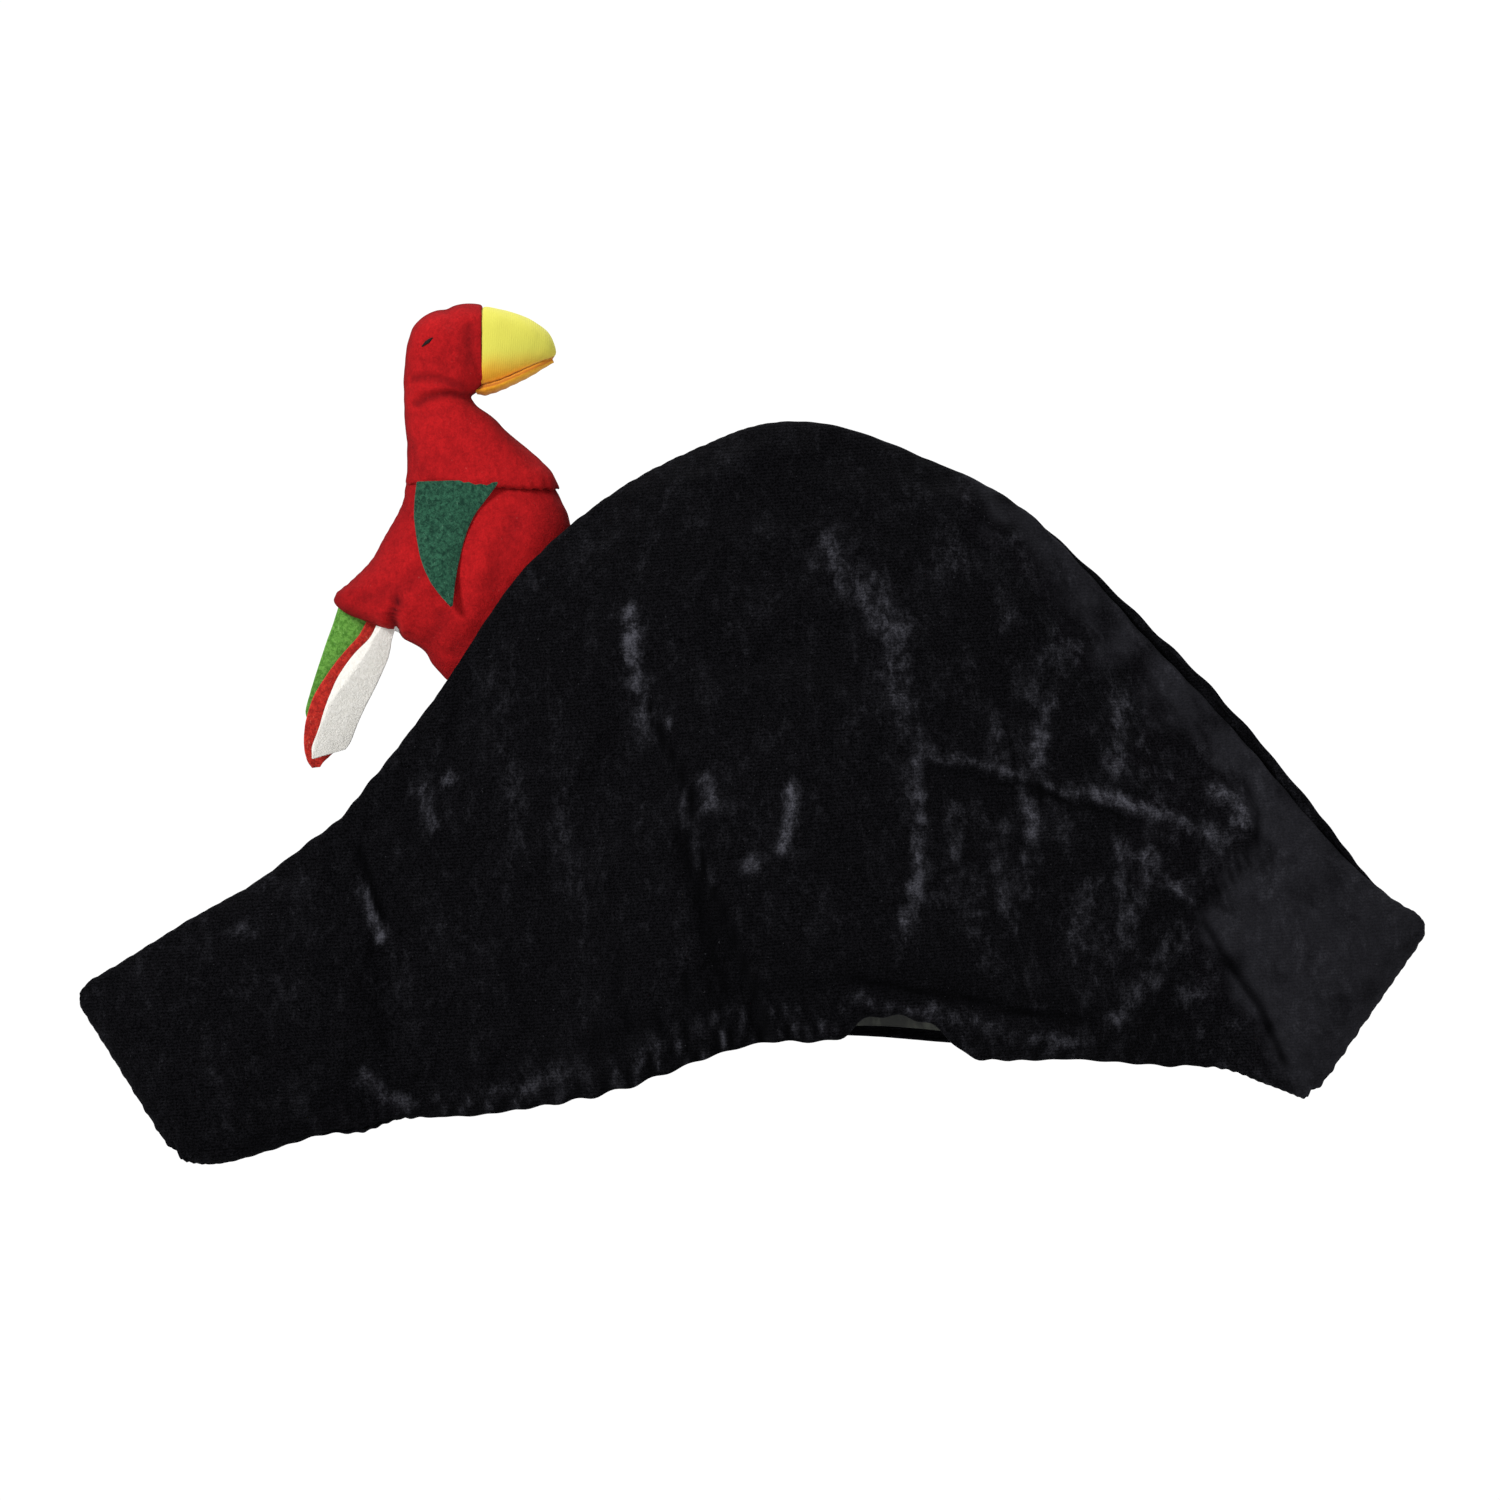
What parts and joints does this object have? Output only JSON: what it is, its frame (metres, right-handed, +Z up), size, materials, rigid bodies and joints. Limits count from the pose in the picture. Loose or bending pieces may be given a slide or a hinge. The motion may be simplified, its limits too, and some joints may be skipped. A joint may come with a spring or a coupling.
{
  "type": "padded pirate hat with stuffed parrot",
  "caption": "Padded black velour pirate hat: two lined panels sewn along the top, an elastic gathered head opening and a stuffed cloth parrot with felt wings and tail tacked to the front.",
  "frame": {"origin": "middle of the head opening, in the seam plane between the two panels", "axes": "+Z up through the crown, +X from the parrot's point to the other point, +Y from the gathered back panel to the front panel that carries the parrot"},
  "size_m": [0.442, 0.0998, 0.279],
  "materials": {
    "black_velour": "soft crushed pile, faint silver sheen",
    "polyester_batting": "matt fibre wadding",
    "grey_satin": "smooth satin, slight gloss",
    "white_elastic": "ribbed woven elastic",
    "black_thread": "twisted thread",
    "red_wool": "brushed woollen knit, matt",
    "yellow_jersey": "matt stretch jersey",
    "orange_jersey": "matt stretch jersey",
    "dark_green_felt": "mottled felt, matt",
    "light_green_felt": "felt, matt",
    "red_felt": "felt, matt",
    "white_felt": "felt, matt"
  },
  "bodies": {
    "hat": {"back_cover": "black_velour", "front_cover": "black_velour", "back_batting": "polyester_batting", "front_batting": "polyester_batting", "back_lining": "grey_satin", "front_lining": "grey_satin", "back_casing": "black_velour", "front_facing": "black_velour", "elastic_band": "white_elastic", "anchor_stitches": "black_thread"},
    "parrot": {"parrot_body_fabric": "red_wool", "parrot_neck_fabric": "red_wool", "parrot_stuffing": "polyester_batting"},
    "head": {"parrot_head_fabric": "red_wool", "head_stuffing": "polyester_batting", "beak_upper": "yellow_jersey", "beak_lower": "orange_jersey", "beak_stuffing": "polyester_batting", "left_eye": "black_thread", "right_eye": "black_thread"},
    "left_wing": {"left_wing": "dark_green_felt"},
    "right_wing": {"right_wing": "dark_green_felt"},
    "tail": {"tail_green_feather": "light_green_felt", "tail_red_feather": "red_felt", "tail_white_feather": "white_felt"}
  },
  "joints": [
    {"name": "parrot_flop", "type": "hinge", "parent": "hat", "child": "parrot", "pos_m": [-0.0783, 0.0112, 0.1562], "axis": [-0.6467, 0, -0.7627], "range_deg": [0, 70], "stiffness_Nm_per_rad": 0.05, "springref_deg": -8.59},
    {"name": "head_nod", "type": "hinge", "parent": "parrot", "child": "head", "pos_m": [-0.109, 0.022, 0.233], "axis": [0, 1, 0], "range_deg": [-20, 20], "stiffness_Nm_per_rad": 0.05},
    {"name": "left_wing_flap", "type": "hinge", "parent": "parrot", "child": "left_wing", "pos_m": [-0.104, 0.0348, 0.2044], "axis": [1, 0, 0], "range_deg": [0, 80]},
    {"name": "right_wing_flap", "type": "hinge", "parent": "parrot", "child": "right_wing", "pos_m": [-0.104, 0.0092, 0.2044], "axis": [-1, 0, 0], "range_deg": [0, 80]},
    {"name": "tail_flex", "type": "hinge", "parent": "parrot", "child": "tail", "pos_m": [-0.1396, 0.022, 0.1612], "axis": [0.811, 0, -0.585], "range_deg": [-30, 30]}
  ]
}
